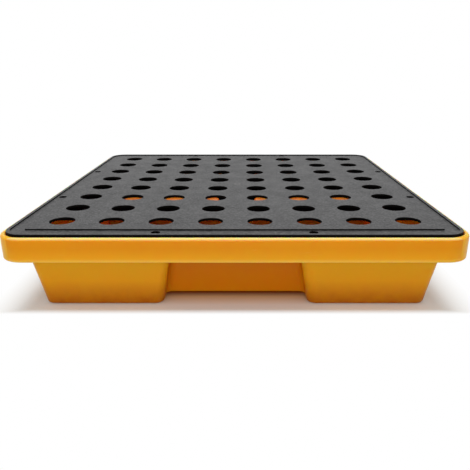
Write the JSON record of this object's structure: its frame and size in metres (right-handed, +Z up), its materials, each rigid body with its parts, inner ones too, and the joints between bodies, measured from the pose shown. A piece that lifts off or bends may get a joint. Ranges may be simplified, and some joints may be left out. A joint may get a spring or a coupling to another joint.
{
  "type": "spill containment pallet",
  "caption": "Low square spill tray with flared rim, hand recesses and support ridges, decked by a lift-off perforated grate for standing a drum on.",
  "frame": {"origin": "on the floor, under the centre of the square footprint", "axes": "+Z up out of the deck; X and Y along the sides, -Y is the front; the support ridges run along X"},
  "size_m": [0.805, 0.805, 0.15],
  "materials": {
    "tray_plastic": "moulded polyethylene, satin, signal yellow-orange",
    "grate_plastic": "moulded polyethylene, fine pebbled texture, black"
  },
  "bodies": {
    "tray": {"sump_tray": "tray_plastic"},
    "grate": {"deck_grate": "grate_plastic"}
  },
  "joints": [
    {"name": "grate_lift", "type": "slide", "parent": "tray", "child": "grate", "axis": [0, 0, 1], "range_m": [0, 0.2]}
  ]
}
